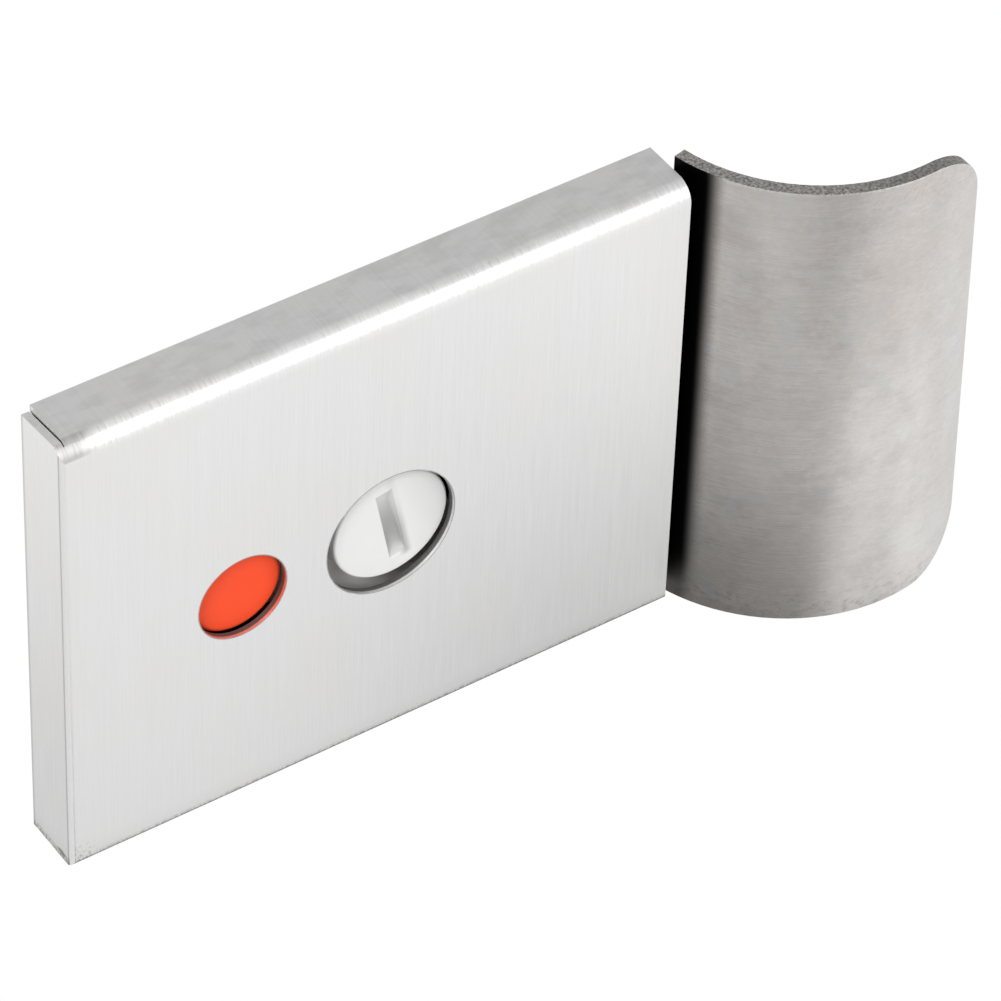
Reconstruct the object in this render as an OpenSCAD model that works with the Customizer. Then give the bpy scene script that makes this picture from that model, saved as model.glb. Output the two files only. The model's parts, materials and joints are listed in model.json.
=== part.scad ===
// Outside unit of a cubicle door's indicator bolt: a folded cover with a window and a coin release,
// a curved pull plate, and the rotor that turns a red or a green pad behind the window.
// Millimetres. The release axis is Y, the door's face is the plane Y = 0, and the front faces -Y.

/* [Cover] */
// Width of the cover
cover_w = 100; // [90:1:120]
// Height of the cover
cover_h = 78; // [72:1:100]
// Depth of the cover from the door to its front face
cover_d = 10; // [10:0.5:14]
// Thickness of the cover's sheet
sheet_t = 1.2; // [0.8:0.1:1.5]
// Outer radius of the bend along the top edge
top_bend_r = 3; // [1.6:0.1:4]
// Outer radius of the bends along the bottom and left edges
edge_bend_r = 0.9; // [0.4:0.1:1.5]
// Slit between the left flange and the ends of the top and bottom flanges
corner_slit = 0.15; // [0.1:0.05:0.4]
// Distance that the left flange's upper edge lies below the top at the front
edge_drop_front = 0.12; // [0.05:0.01:0.5]
// Distance that the left flange's upper edge lies below the top at the door
edge_drop_back = 1.1; // [0.1:0.05:2]
// Distance from the cover's left edge to the release axis
axis_from_left = 52.8; // [48:0.1:60]
// Distance from the cover's bottom edge to the release axis
axis_from_bottom = 37.6; // [36:0.1:45]

/* [Openings in the cover] */
// Radius of the release aperture
aperture_r = 10.4; // [9.6:0.1:12]
// Distance that the aperture is punched left of the release axis
aperture_shift = 0.9; // [0:0.1:1.2]
// Radius of the indicator window
window_r = 7; // [5:0.1:8]
// Distance from the release axis to the window and to each pad
pad_orbit = 24.9; // [24:0.1:26]

/* [Pull plate] */
// Thickness of the pull plate
plate_t = 2; // [1.5:0.1:2.5]
// Height of the pull beyond the cover's end
pull_h = 80.3; // [72:0.1:100]
// Outer radius of the pull's sweep
pull_r = 27.9; // [24:0.1:34]
// Angle by which the pull leans out where its sweep starts
pull_lean = 13; // [6:1:20]
// Angle by which the sweep runs on past its crest
pull_past_crest = 26; // [10:1:35]
// Corner radius of the pull's free end
pull_corner_r = 9.5; // [4:0.5:14]
// Slope of the pull's free end, which is shorter at the top than at the bottom
pull_end_slope = 2.5; // [0.5:0.5:4]
// Inner radius of the bend from the backplate to the pull
neck_bend_r = 1.5; // [1:0.1:3]
// Straight length between that bend and the sweep
neck_straight = 1.25; // [0.5:0.05:3]
// Gap between the cover's open end and the pull
pull_gap = 0.64; // [0.3:0.02:1.5]
// Gap all round between the backplate and the cover's flanges
backplate_gap = 0.4; // [0.2:0.05:1]
// Height of the neck that leaves the cover's open end
neck_h = 60; // [40:1:68]
// Distance that the backplate's full height stops short of the cover's open end
shoulder_inset = 1.5; // [0.5:0.1:4]

/* [Fixings] */
// Distance from the cover's left edge to the left pillar
left_pillar_inset = 14.8; // [8:0.1:15]
// Distance from the cover's open end to the right pillar
right_pillar_inset = 9.2; // [8:0.1:20]
// Radius of a pillar
pillar_r = 4; // [3.6:0.1:4.5]
// Radius of a pillar's spigot in the backplate
spigot_r = 3.2; // [2.9:0.1:3.4]
// Radius of the tapped hole, before its thread
tapped_r = 2.1; // [1.6:0.05:2.1]
// Depth of the tapped hole from the door's face
tapped_depth = 7.4; // [5:0.1:8]

/* [Rotor] */
// Radius of the release knob
knob_r = 9.3; // [8.6:0.1:9.6]
// Distance from the cover's front face back to the knob's face
knob_recess = 1.4; // [1.4:0.05:1.7]
// Thickness of the knob's head
knob_head = 2.8; // [2.6:0.1:3.2]
// Length of the coin slot
slot_l = 13; // [10:0.5:15]
// Width of the coin slot
slot_w = 2.6; // [1.6:0.1:3.2]
// Depth of the coin slot
slot_depth = 2.2; // [1:0.1:2.3]
// Angle by which the slot leans from upright, lower end to the right
slot_lean = 11.6; // [0:0.2:20]
// Width across the flats of the knob's square hub
hub_w = 8; // [7.6:0.1:8.4]
// Radius to the hub's rounded corners
hub_corner_r = 4.9; // [4.6:0.05:5]
// Thickness of the indicator plate
fan_t = 1; // [0.8:0.1:1]
// Radius of the indicator plate's hub
fan_hub_r = 15; // [14.4:0.1:16]
// Rim of the indicator plate outside a pad
fan_rim = 0.8; // [0.4:0.1:1]
// Radius of a pad
pad_r = 7.35; // [6:0.05:7.8]
// Thickness of a pad
pad_t = 2.6; // [1.6:0.1:2.7]
// Radius round a pad's front edge
pad_edge_r = 0.9; // [0.2:0.1:1.4]
// Radius of a pad's stem
pad_stem_r = 2; // [1.4:0.1:2.4]
// Outer radius of a stem's push-on keeper
keeper_r = 3.6; // [3:0.1:4]
// Thickness of a keeper
keeper_t = 0.5; // [0.3:0.1:0.8]
// Angle from one stop to the other
turn_angle = 90; // [80:1:95]

/* [Spindle] */
// Radius of the spindle's journal
journal_r = 4; // [3.8:0.1:4.2]
// Width of the square driver in the knob
driver_w = 4.4; // [4:0.1:4.6]
// Width of the square drive tail
tail_w = 4; // [3.6:0.1:4.1]
// Distance that the tail reaches behind the door's face
tail_reach = 30; // [20:1:60]
// Distance that the spindle reaches behind the door's face
spindle_reach = 9; // [8:0.5:12]
// Radius of the tail's cross pin
tail_pin_r = 0.8; // [0.5:0.1:0.9]
// Radius of the bush's barrel
bush_r = 6; // [5.6:0.1:7]
// Radius of the bush's flange
bush_flange_r = 8; // [7.4:0.1:9]
// Thickness of the bush's flange
bush_flange_t = 0.5; // [0.4:0.1:0.7]
// Step from the bush's radius in to the thrust washer's
thrust_step = 0.2; // [0.1:0.05:0.5]
// Thickness of the thrust washer
thrust_t = 0.4; // [0.3:0.1:0.6]
// Outer radius of the retaining clip
clip_r = 5.6; // [5.2:0.1:6]
// Thickness of the retaining clip
clip_t = 0.7; // [0.5:0.1:1]
// Depth of the clip's groove
groove_depth = 0.9; // [0.5:0.1:0.9]
// Outer radius of the friction washer
friction_r = 7; // [6:0.1:8]
// Thickness of the friction washer
friction_t = 0.4; // [0.3:0.05:0.45]

/* [Detent and stop] */
// Thickness of the detent spring
spring_t = 0.4; // [0.2:0.05:0.5]
// Width of the detent spring
spring_w = 1.3; // [1:0.1:1.4]
// Height of the spring's post above the release axis
post_z = 15; // [13:0.5:17]
// Radius of the spring's post
post_r = 2.2; // [1.8:0.1:2.4]
// Length of spring below the release axis
spring_below = 8; // [5:0.5:10]
// Distance from the release axis to the stop pin
stop_orbit = 11.2; // [11.2:0.1:11.6]
// Radius of the stop pin
stop_r = 1.2; // [0.8:0.1:1.3]
// Angle of the stop pin above the horizontal
stop_angle = 45; // [40:1:48]

/* [Hidden] */
// Clearance between two flat faces that slide on each other
slide_gap = 0.05;
// Radial clearance of the running journal
run_gap = 0.05;
// Radial clearance of pieces that are fitted together and don't move
fit_gap = 0.05;
// Clearance between moving pieces that don't touch
free_gap = 0.2;
// Depth by which a cut passes the face that it opens
over = 1;
// Thinning of the pull plate's sheet on each side of its bend
bend_thinning = 0.06;
// Angle by which the bend runs into the straight sheet at each end
bend_lap = 4;
// Length by which the neck runs into the sweep
neck_lap = 1;
// Step between the indicator plate's round ends and its straight and outer edges
fan_step = 0.3;
$fn = 96;

left_x = -axis_from_left;
right_x = cover_w - axis_from_left;
bottom_z = -axis_from_bottom;
top_z = cover_h - axis_from_bottom;
mid_z = (top_z + bottom_z) / 2;
front_y = -cover_d;
inner_y = front_y + sheet_t;
window_x = -pad_orbit;

back_top_z = top_z - sheet_t - backplate_gap;
back_bottom_z = bottom_z + sheet_t + backplate_gap;
back_left_x = left_x + sheet_t + backplate_gap;
back_right_x = right_x - shoulder_inset;
bend_x = right_x + pull_gap - neck_bend_r * cos(pull_lean);
bend_y = -plate_t - neck_bend_r;
sweep_reach = pull_r + neck_bend_r;
sweep_x = bend_x + sweep_reach * cos(pull_lean) + neck_straight * sin(pull_lean);
sweep_y = bend_y + sweep_reach * sin(pull_lean) - neck_straight * cos(pull_lean);
left_pillar_x = left_x + left_pillar_inset;
right_pillar_x = right_x - right_pillar_inset;
pull_end_x = sweep_x + pull_r * sin(pull_past_crest);

knob_y = front_y + knob_recess;
fan_y = knob_y + knob_head;
fan_back_y = fan_y + fan_t;
hub_back_y = -plate_t - bush_flange_t - friction_t - 2 * slide_gap;
pad_y = fan_y - pad_t;
keeper_y = fan_back_y + slide_gap;
fan_r = pad_orbit + pad_r + fan_rim;
fan_end_r = pad_r + fan_rim;
stop_slot_w = 2 * (stop_r + free_gap);
driver_depth = 2.6;
washer_y = slide_gap;
clip_y = washer_y + thrust_t + slide_gap;
groove_r = journal_r - groove_depth;
socket_y = clip_y + clip_t + 4 * slide_gap;
tail_pin_y = (socket_y + spindle_reach) / 2;
spring_x = hub_w / 2 + fit_gap;
spring_mid_y = (fan_back_y + hub_back_y) / 2;
post_front_y = fan_back_y + free_gap;
stop_front_y = fan_y + 2 * slide_gap;

// A round bar along Y from y0 to y1.
module bar_y(r, y0, y1) {
    translate([0, y0, 0]) rotate([-90, 0, 0]) cylinder(r = r, h = y1 - y0);
}

// A flat ring across Y.
module ring_y(r_out, r_in, y0, y1) {
    difference() {
        bar_y(r_out, y0, y1);
        bar_y(r_in, y0 - over, y1 + over);
    }
}

// A square bar along Y.
module square_y(w, y0, y1) {
    translate([-w / 2, y0, -w / 2]) cube([w, y1 - y0, w]);
}

// An outline drawn as it looks from the front, given thickness from y0 to y1.
module plate_y(y0, y1) {
    translate([0, y1, 0]) rotate([90, 0, 0]) linear_extrude(y1 - y0) children();
}

// The part of the plane between two angles, out to radius r.
module sector(r, a0, a1) {
    steps = 6;
    far = r / cos((a1 - a0) / steps / 2) + over;
    polygon(concat([[0, 0]], [for (i = [0 : steps])
        let (a = a0 + (a1 - a0) * i / steps) far * [cos(a), sin(a)]]));
}

// A rectangle from the origin whose two corners on the far side are round.
module folded_block(w, h, r_low, r_high) {
    difference() {
        square([w, h]);
        square([r_low, r_low]);
        translate([0, h - r_high]) square([r_high, r_high]);
    }
    translate([r_low, r_low]) intersection() {
        circle(r_low);
        translate([-r_low, -r_low]) square(r_low);
    }
    translate([r_high, h - r_high]) intersection() {
        circle(r_high);
        translate([-r_high, 0]) square(r_high);
    }
}

// The section across the top and bottom bends: x is depth from the front, y is height.
module channel_outer() {
    folded_block(cover_d, cover_h, edge_bend_r, top_bend_r);
}

module channel_section() {
    difference() {
        channel_outer();
        translate([sheet_t, sheet_t])
            folded_block(cover_d, cover_h - 2 * sheet_t, max(edge_bend_r - sheet_t, 0.1),
                max(top_bend_r - sheet_t, 0.1));
    }
}

// An outline of depth and height, run along X from x0 to x1.
module along_x(x0, x1) {
    translate([x0, front_y, bottom_z]) rotate([90, 0, 90]) linear_extrude(x1 - x0) children();
}

// What lies under the left flange's sloping upper edge, in depth and height.
module under_slope() {
    polygon([[0, -over], [cover_d, -over], [cover_d, cover_h - edge_drop_back],
        [0, cover_h - edge_drop_front]]);
}

// The front web and the left flange, whose upper edge falls away from the top flange.
module left_fold() {
    intersection() {
        translate([left_x, front_y, bottom_z]) linear_extrude(cover_h) difference() {
            rotate(-90) mirror([1, 0]) folded_block(cover_d, cover_w / 2, edge_bend_r, edge_bend_r);
            translate([sheet_t, sheet_t]) square([cover_w, cover_d]);
        }
        along_x(left_x - over, right_x + over) intersection() {
            channel_outer();
            under_slope();
        }
    }
}

module front_cover() {
    color([0.82, 0.82, 0.81]) difference() {
        union() {
            along_x(left_x + sheet_t + corner_slit, right_x) channel_section();
            left_fold();
        }
        translate([-aperture_shift, 0, 0]) bar_y(aperture_r, front_y - over, inner_y + over);
        translate([window_x, 0, 0]) bar_y(window_r, front_y - over, inner_y + over);
    }
}

// A tapped pillar welded inside the cover, with a spigot that locates the backplate.
module pillar(x) {
    color([0.62, 0.62, 0.62]) translate([x, 0, 0]) difference() {
        union() {
            bar_y(pillar_r, inner_y, -plate_t);
            bar_y(spigot_r, -plate_t - over, 0);
        }
        bar_y(tapped_r, -tapped_depth, over);
    }
}

module left_pillar() {
    pillar(left_pillar_x);
}

module right_pillar() {
    pillar(right_pillar_x);
}

// Plan of the bend and neck that lead out of the cover, from the middle of the backplate.
module neck_plan() {
    translate([0, -plate_t]) square([bend_x, plate_t]);
    translate([bend_x, bend_y]) {
        intersection() {
            difference() {
                circle(neck_bend_r + plate_t - bend_thinning);
                circle(neck_bend_r + bend_thinning);
            }
            sector(neck_bend_r + plate_t, pull_lean - bend_lap, 90 + bend_lap);
        }
        rotate(pull_lean)
            translate([neck_bend_r + bend_thinning / 2, -neck_straight - neck_lap])
            square([plate_t - bend_thinning, neck_straight + neck_lap]);
    }
}

// Plan of the swept pull.
module sweep_plan() {
    translate([sweep_x, sweep_y]) intersection() {
        difference() {
            circle(pull_r, $fn = 180);
            circle(pull_r - plate_t, $fn = 180);
        }
        sector(pull_r, 180 + pull_lean, 272 + asin((end_x_at(-pull_h / 2) - sweep_x) / pull_r));
    }
}

// X of the pull's free end, at a height from its middle.
function end_x_at(z) = pull_end_x - z * tan(pull_end_slope);

// What is cut off to round one corner of the pull's free end, seen from the front. The circle crosses
// the edges that it joins by corner_bite, so that no face of the plate ends in a feather edge.
module corner_cut(z_sign) {
    corner_bite = 0.03;
    inner_r = pull_corner_r - corner_bite;
    z = z_sign * (pull_h / 2 - inner_r);
    reach = pull_corner_r + over;
    translate([end_x_at(z) - inner_r / cos(pull_end_slope), mid_z + z]) difference() {
        polygon([[0, 0], reach * [1, tan(pull_end_slope)], reach * [1, z_sign], reach * [0, z_sign]]);
        circle(pull_corner_r);
    }
}

// What is cut off to slope the pull's free end, seen from the front.
module slope_cut() {
    half = pull_h / 2 + over;
    translate([0, mid_z]) polygon([[end_x_at(half), half], [end_x_at(half) + pull_r, half],
        [end_x_at(-half) + pull_r, -half], [end_x_at(-half), -half]]);
}

module pull_plate() {
    color([0.66, 0.65, 0.63]) difference() {
        union() {
            translate([back_left_x, -plate_t, back_bottom_z])
                cube([back_right_x - back_left_x, plate_t, back_top_z - back_bottom_z]);
            translate([0, 0, mid_z - neck_h / 2]) linear_extrude(neck_h) neck_plan();
            difference() {
                translate([0, 0, mid_z - pull_h / 2]) linear_extrude(pull_h) sweep_plan();
                plate_y(sweep_y - pull_r - over, sweep_y) slope_cut();
                for (z_sign = [-1, 1])
                    plate_y(sweep_y - pull_r - over, sweep_y) corner_cut(z_sign);
            }
        }
        bar_y(bush_r + fit_gap, -plate_t - over, over);
        for (x = [left_pillar_x, right_pillar_x])
            translate([x, 0, 0]) bar_y(spigot_r + fit_gap, -plate_t - over, over);
        at_post() bar_y(post_r / 2 + fit_gap, -plate_t - over, over);
        at_stop() bar_y(stop_r + fit_gap, -plate_t - over, over);
    }
}

module spindle_bush() {
    color([0.9, 0.89, 0.85]) difference() {
        union() {
            bar_y(bush_r, -plate_t - bush_flange_t / 2, 0);
            bar_y(bush_flange_r, -plate_t - bush_flange_t, -plate_t);
        }
        bar_y(journal_r + run_gap, -plate_t - over, over);
    }
}

module at_post() {
    translate([spring_x + spring_t / 2, 0, post_z]) children();
}

module at_stop() {
    translate([stop_orbit * cos(stop_angle), 0, stop_orbit * sin(stop_angle)]) children();
}

// A leaf that lies along one flat of the knob's hub.
module detent_spring() {
    color([0.55, 0.56, 0.58])
        translate([spring_x, spring_mid_y - spring_w / 2, -spring_below])
        cube([spring_t, spring_w, post_z + post_r + spring_below]);
}

// A slit post riveted in the backplate, which holds the leaf's upper end.
module spring_post() {
    slit = spring_t + 2 * fit_gap;
    slit_back_y = spring_mid_y + spring_w / 2 + fit_gap;
    color([0.7, 0.6, 0.36]) at_post() difference() {
        union() {
            bar_y(post_r, post_front_y, -plate_t);
            bar_y(post_r / 2, -plate_t - over / 2, 0);
        }
        translate([-slit / 2, post_front_y - over, -post_r - over])
            cube([slit, slit_back_y - post_front_y + over, 2 * (post_r + over)]);
    }
}

module stop_pin() {
    color([0.6, 0.6, 0.62]) at_stop() bar_y(stop_r, stop_front_y, 0);
}

// Outline of the hub's square with its rounded corners, w across the flats.
module hub_outline(gap) {
    intersection() {
        square(hub_w + 2 * gap, center = true);
        circle(hub_corner_r + gap);
    }
}

// The disc that leaves a coin slot with square ends and a hollow floor.
module slot_cutter() {
    cutter_r = (pow(slot_l / 2, 2) + pow(slot_depth, 2)) / (2 * slot_depth);
    translate([0, knob_y + slot_depth - cutter_r, 0]) rotate([0, -slot_lean, 0]) rotate([0, 90, 0])
        cylinder(r = cutter_r, h = slot_w, center = true);
}

module release_knob() {
    edge = 0.25;
    color([0.93, 0.93, 0.92]) difference() {
        union() {
            rotate([90, 0, 0]) rotate_extrude() polygon([[0, -fan_y], [knob_r, -fan_y],
                [knob_r, -knob_y - edge], [knob_r - edge, -knob_y], [0, -knob_y]]);
            plate_y(fan_y - over / 2, hub_back_y) hub_outline(0);
        }
        slot_cutter();
        square_y(driver_w + 2 * fit_gap, hub_back_y - driver_depth, hub_back_y + over);
    }
}

// Outline of the arc that the stop pin runs in.
module stop_slot() {
    difference() {
        circle(stop_orbit + stop_slot_w / 2);
        circle(stop_orbit - stop_slot_w / 2);
        rotate(stop_angle) sector(2 * stop_orbit, 0, 360 - turn_angle);
    }
    for (a = [stop_angle, stop_angle - turn_angle])
        rotate(a) translate([stop_orbit, 0]) circle(stop_r + 0.8 * free_gap);
}

// A fan with a hub, cut for the knob's square hub, the stop pin and the two pads.
module indicator_plate() {
    color([0.5, 0.5, 0.5]) plate_y(fan_y, fan_back_y) difference() {
        union() {
            circle(fan_hub_r);
            intersection() {
                circle(fan_r - fan_step);
                sector(fan_r, 90, 180);
            }
            for (a = [90, 180]) rotate(a) {
                translate([0, fan_step - fan_end_r]) square([pad_orbit, 2 * (fan_end_r - fan_step)]);
                translate([pad_orbit, 0]) circle(fan_end_r);
            }
        }
        hub_outline(fit_gap);
        stop_slot();
        for (a = [90, 180]) rotate(a) translate([pad_orbit, 0]) circle(pad_stem_r + fit_gap);
    }
}

// A pad with a soft front edge, and a stem through the indicator plate.
module pad(shade) {
    stem_end = keeper_y + keeper_t + 0.2;
    color(shade) {
        rotate([90, 0, 0]) rotate_extrude() {
            translate([0, -fan_y]) square([pad_r, pad_t - pad_edge_r]);
            translate([0, -fan_y]) square([pad_r - pad_edge_r, pad_t]);
            translate([pad_r - pad_edge_r, -pad_y - pad_edge_r]) intersection() {
                circle(pad_edge_r);
                square(pad_edge_r);
            }
        }
        bar_y(pad_stem_r, fan_y - pad_t / 2, stem_end);
    }
}

module red_pad() {
    translate([-pad_orbit, 0, 0]) pad([0.95, 0.25, 0.14]);
}

module green_pad() {
    translate([0, 0, pad_orbit]) pad([0.1, 0.55, 0.25]);
}

module keeper() {
    color([0.6, 0.6, 0.6]) ring_y(keeper_r, pad_stem_r + fit_gap, keeper_y, keeper_y + keeper_t);
}

module red_keeper() {
    translate([-pad_orbit, 0, 0]) keeper();
}

module green_keeper() {
    translate([0, 0, pad_orbit]) keeper();
}

// Driver, journal, clip groove and tail socket, turned in one piece.
module drive_spindle() {
    color([0.68, 0.68, 0.68]) difference() {
        union() {
            square_y(driver_w, hub_back_y - driver_depth + free_gap, hub_back_y + over);
            bar_y(journal_r, hub_back_y, spindle_reach);
        }
        ring_y(journal_r + over, groove_r, clip_y - slide_gap, clip_y + clip_t + slide_gap);
        square_y(tail_w + 2 * fit_gap, socket_y, spindle_reach + over);
        at_tail_pin() cylinder(r = tail_pin_r + fit_gap, h = 4 * journal_r, center = true);
    }
}

module at_tail_pin() {
    translate([0, tail_pin_y, 0]) children();
}

module friction_washer() {
    color([0.75, 0.73, 0.66])
        ring_y(friction_r, journal_r + fit_gap, hub_back_y + slide_gap, hub_back_y + slide_gap + friction_t);
}

module thrust_washer() {
    color([0.75, 0.73, 0.66])
        ring_y(bush_r - thrust_step, journal_r + fit_gap, washer_y, washer_y + thrust_t);
}

// A clip snapped into the groove from the side.
module spindle_clip() {
    mouth = 2 * groove_r * 0.8;
    color([0.45, 0.45, 0.46]) difference() {
        ring_y(clip_r, groove_r + fit_gap, clip_y, clip_y + clip_t);
        translate([-mouth / 2, clip_y - over, -clip_r - over])
            cube([mouth, clip_t + 2 * over, clip_r + over]);
    }
}

module drive_tail() {
    color([0.7, 0.7, 0.7]) difference() {
        square_y(tail_w, socket_y + free_gap, tail_reach);
        at_tail_pin() cylinder(r = tail_pin_r + fit_gap, h = 4 * tail_w, center = true);
    }
}

module tail_pin() {
    color([0.55, 0.55, 0.55])
        at_tail_pin() cylinder(r = tail_pin_r, h = 2 * (journal_r - free_gap), center = true);
}

front_cover();
left_pillar();
right_pillar();
pull_plate();
spindle_bush();
detent_spring();
spring_post();
stop_pin();
release_knob();
indicator_plate();
red_pad();
green_pad();
red_keeper();
green_keeper();
drive_spindle();
friction_washer();
thrust_washer();
spindle_clip();
drive_tail();
tail_pin();
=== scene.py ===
"""Looks of a cubicle door's indicator bolt: finishes, softened edges, small parts, stage and camera."""

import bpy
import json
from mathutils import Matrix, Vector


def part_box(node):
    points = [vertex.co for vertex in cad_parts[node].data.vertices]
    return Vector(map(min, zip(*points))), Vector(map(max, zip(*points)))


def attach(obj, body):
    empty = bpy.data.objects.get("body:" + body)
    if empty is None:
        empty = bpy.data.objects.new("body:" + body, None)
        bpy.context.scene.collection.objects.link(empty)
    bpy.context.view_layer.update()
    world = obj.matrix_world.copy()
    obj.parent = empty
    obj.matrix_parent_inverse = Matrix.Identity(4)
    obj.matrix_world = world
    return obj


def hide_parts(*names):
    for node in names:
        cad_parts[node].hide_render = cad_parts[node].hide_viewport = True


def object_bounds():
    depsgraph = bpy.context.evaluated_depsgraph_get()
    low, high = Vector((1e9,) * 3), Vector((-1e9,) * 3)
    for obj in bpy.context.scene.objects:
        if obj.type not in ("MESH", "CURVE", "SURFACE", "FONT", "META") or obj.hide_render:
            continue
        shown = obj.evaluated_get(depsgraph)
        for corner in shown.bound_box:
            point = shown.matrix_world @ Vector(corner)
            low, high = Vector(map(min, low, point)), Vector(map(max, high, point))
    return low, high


bl_info = {
    "name": "Indicator bolt looks",
    "version": (1, 0, 0),
    "blender": (4, 5, 0),
    "location": "3D View > Sidebar > Indicator bolt",
    "description": "Dresses the outside unit of a cubicle door's indicator bolt",
    "category": "Object",
}

import json
import math

import bmesh
import bpy
from mathutils import Matrix, Vector

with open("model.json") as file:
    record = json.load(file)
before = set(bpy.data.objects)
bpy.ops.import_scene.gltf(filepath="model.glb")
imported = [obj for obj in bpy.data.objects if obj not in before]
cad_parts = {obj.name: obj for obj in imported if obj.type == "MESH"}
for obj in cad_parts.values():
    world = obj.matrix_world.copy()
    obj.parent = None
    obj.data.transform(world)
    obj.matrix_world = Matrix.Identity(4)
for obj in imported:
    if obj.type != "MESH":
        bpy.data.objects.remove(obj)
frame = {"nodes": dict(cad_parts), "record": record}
CAD_BOX = [list(corner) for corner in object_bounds()]

MM = 0.001
UNIT = "outside_unit"
ROTOR = "release_rotor"
IMAGE_SIZE = 1001
SENSOR = 36.0
WELD = 0.001 * MM
FLAT = math.radians(0.05)
RELIEF = 0.02 * MM
PAD_EDGE = 0.05
KEEPER_ROOT = 0.45
TOOTH_LAP = 0.1 * MM
RIDGE_SHARE = 0.3

# Corners of the two plates, in millimetres
COVER_LOW, COVER_HIGH = (Vector(corner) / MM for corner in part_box("front_cover"))
PULL_LOW, PULL_HIGH = (Vector(corner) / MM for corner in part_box("pull_plate"))

# Colours of age and wear on the steel, and of the light and shade painted on it
WARM_STEEL = (0.97, 0.93, 0.88)
# Colour of wear, and of the painted shade on the cover's bends
WORN_AND_SHADED_STEEL = (0.22, 0.21, 0.20)
# Pale colour of the painted light on the cover's left bend
PAINTED_BEND_LIGHT = (0.74, 0.74, 0.74)
HOLE_LIP = (0.25, 0.24, 0.23)
# Colour of the holes' inner walls: torn steel with painted shade
HOLE_WALL = (0.12, 0.117, 0.113)
# Painted shade on the faces within the cover
INNER_SHADE = (0.10, 0.098, 0.095)
COOL_PATCH = (0.60, 0.62, 0.63)
STAIN = (0.36, 0.33, 0.31)
# Colour of soil, and of the painted shade on the pull
SOIL_AND_SHADE = (0.24, 0.225, 0.21)
RUBBED_ARRIS = (0.86, 0.85, 0.83)
SAWN_DARK = (0.19, 0.18, 0.17)
SAWN_BRIGHT = (0.62, 0.61, 0.59)
# Painted dark reflection on the pull beside the cover
DARK_REFLECTION = (0.005, 0.005, 0.005)
BLACK = (0.0, 0.0, 0.0)
WHITE = (1.0, 1.0, 1.0)


# Shader maths

class Wire:
    """An output socket that takes part in Python expressions."""

    def __init__(self, finish, socket):
        self.finish = finish
        self.socket = socket

    def math(self, operation, first, second=0.0):
        return self.finish.node("ShaderNodeMath", {"operation": operation}, {0: first, 1: second})

    def __add__(self, other):
        return self.math("ADD", self, other)

    def __sub__(self, other):
        return self.math("SUBTRACT", self, other)

    def __rsub__(self, other):
        return self.math("SUBTRACT", other, self)

    def __mul__(self, other):
        return self.math("MULTIPLY", self, other)

    def __abs__(self):
        return self.math("ABSOLUTE", self)

    def at_most(self, other):
        return self.math("MINIMUM", self, other)

    def ramp(self, low, high, to_low=0.0, to_high=1.0):
        """Runs smoothly from to_low at low to to_high at high, and stays there beyond them."""
        settings = {"interpolation_type": "SMOOTHSTEP"}
        values = {"Value": self, "From Min": low, "From Max": high, "To Min": to_low, "To Max": to_high}
        return self.finish.node("ShaderNodeMapRange", settings, values)


class Finish:
    """A node tree that is built from Python expressions."""

    def __init__(self, tree):
        self.tree = tree
        self.tree.nodes.clear()

    def node(self, kind, settings=None, values=None, output=0):
        """Adds one node: its settings first, then the values or links of its sockets."""
        made = self.tree.nodes.new(kind)
        for key, value in (settings or {}).items():
            setattr(made, key, value)
        for key, value in (values or {}).items():
            self.feed(made.inputs[key], value)
        return Wire(self, made.outputs[output])

    def feed(self, socket, value):
        if isinstance(value, Wire):
            self.tree.links.new(value.socket, socket)
        elif isinstance(socket.default_value, float):
            socket.default_value = value
        else:
            socket.default_value = tuple(value) + (1.0,) * (len(socket.default_value) - len(value))

    def place(self):
        """Object coordinates in millimetres, as three wires."""
        point = self.node("ShaderNodeTexCoord", output="Object")
        scaled = self.node("ShaderNodeVectorMath", {"operation": "SCALE"}, {0: point, "Scale": 1 / MM})
        return [self.node("ShaderNodeSeparateXYZ", None, {0: scaled}, axis) for axis in range(3)]

    def facing(self):
        """The surface's own direction, as three wires."""
        normal = self.node("ShaderNodeTexCoord", output="Normal")
        return [self.node("ShaderNodeSeparateXYZ", None, {0: normal}, axis) for axis in range(3)]

    def point(self, x, y, z):
        return self.node("ShaderNodeCombineXYZ", None, {0: x, 1: y, 2: z})

    def noise(self, point, scale, detail=2.0, roughness=0.5):
        values = {"Vector": point, "Scale": scale, "Detail": detail, "Roughness": roughness}
        return self.node("ShaderNodeTexNoise", None, values, "Fac")

    def grain(self, x, y, z, detail=2.0, roughness=0.5):
        """Noise whose scale along each axis is in the coordinates that it gets."""
        return self.noise(self.point(x, y, z), 1.0, detail, roughness)

    def distance(self, point, centre):
        return self.node("ShaderNodeVectorMath", {"operation": "DISTANCE"}, {0: point, 1: centre}, "Value")

    def blend(self, factor, first, second):
        """Mixes two colours."""
        made = self.tree.nodes.new("ShaderNodeMix")
        made.data_type = "RGBA"
        for name, value in (("Factor_Float", factor), ("A_Color", first), ("B_Color", second)):
            self.feed(next(socket for socket in made.inputs if socket.identifier == name), value)
        return Wire(self, next(socket for socket in made.outputs if socket.identifier == "Result_Color"))

    def bump(self, height, strength, distance):
        values = {"Height": height, "Strength": strength, "Distance": distance}
        return self.node("ShaderNodeBump", None, values, "Normal")

    def surface(self, **values):
        """Ends the tree in one Principled shader."""
        named = {key.replace("_", " ").title().replace("Ior", "IOR"): value for key, value in values.items()}
        shader = self.node("ShaderNodeBsdfPrincipled", None, named)
        self.node_out(shader)

    def node_out(self, shader):
        out = self.tree.nodes.new("ShaderNodeOutputMaterial")
        self.tree.links.new(shader.socket, out.inputs["Surface"])


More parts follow.
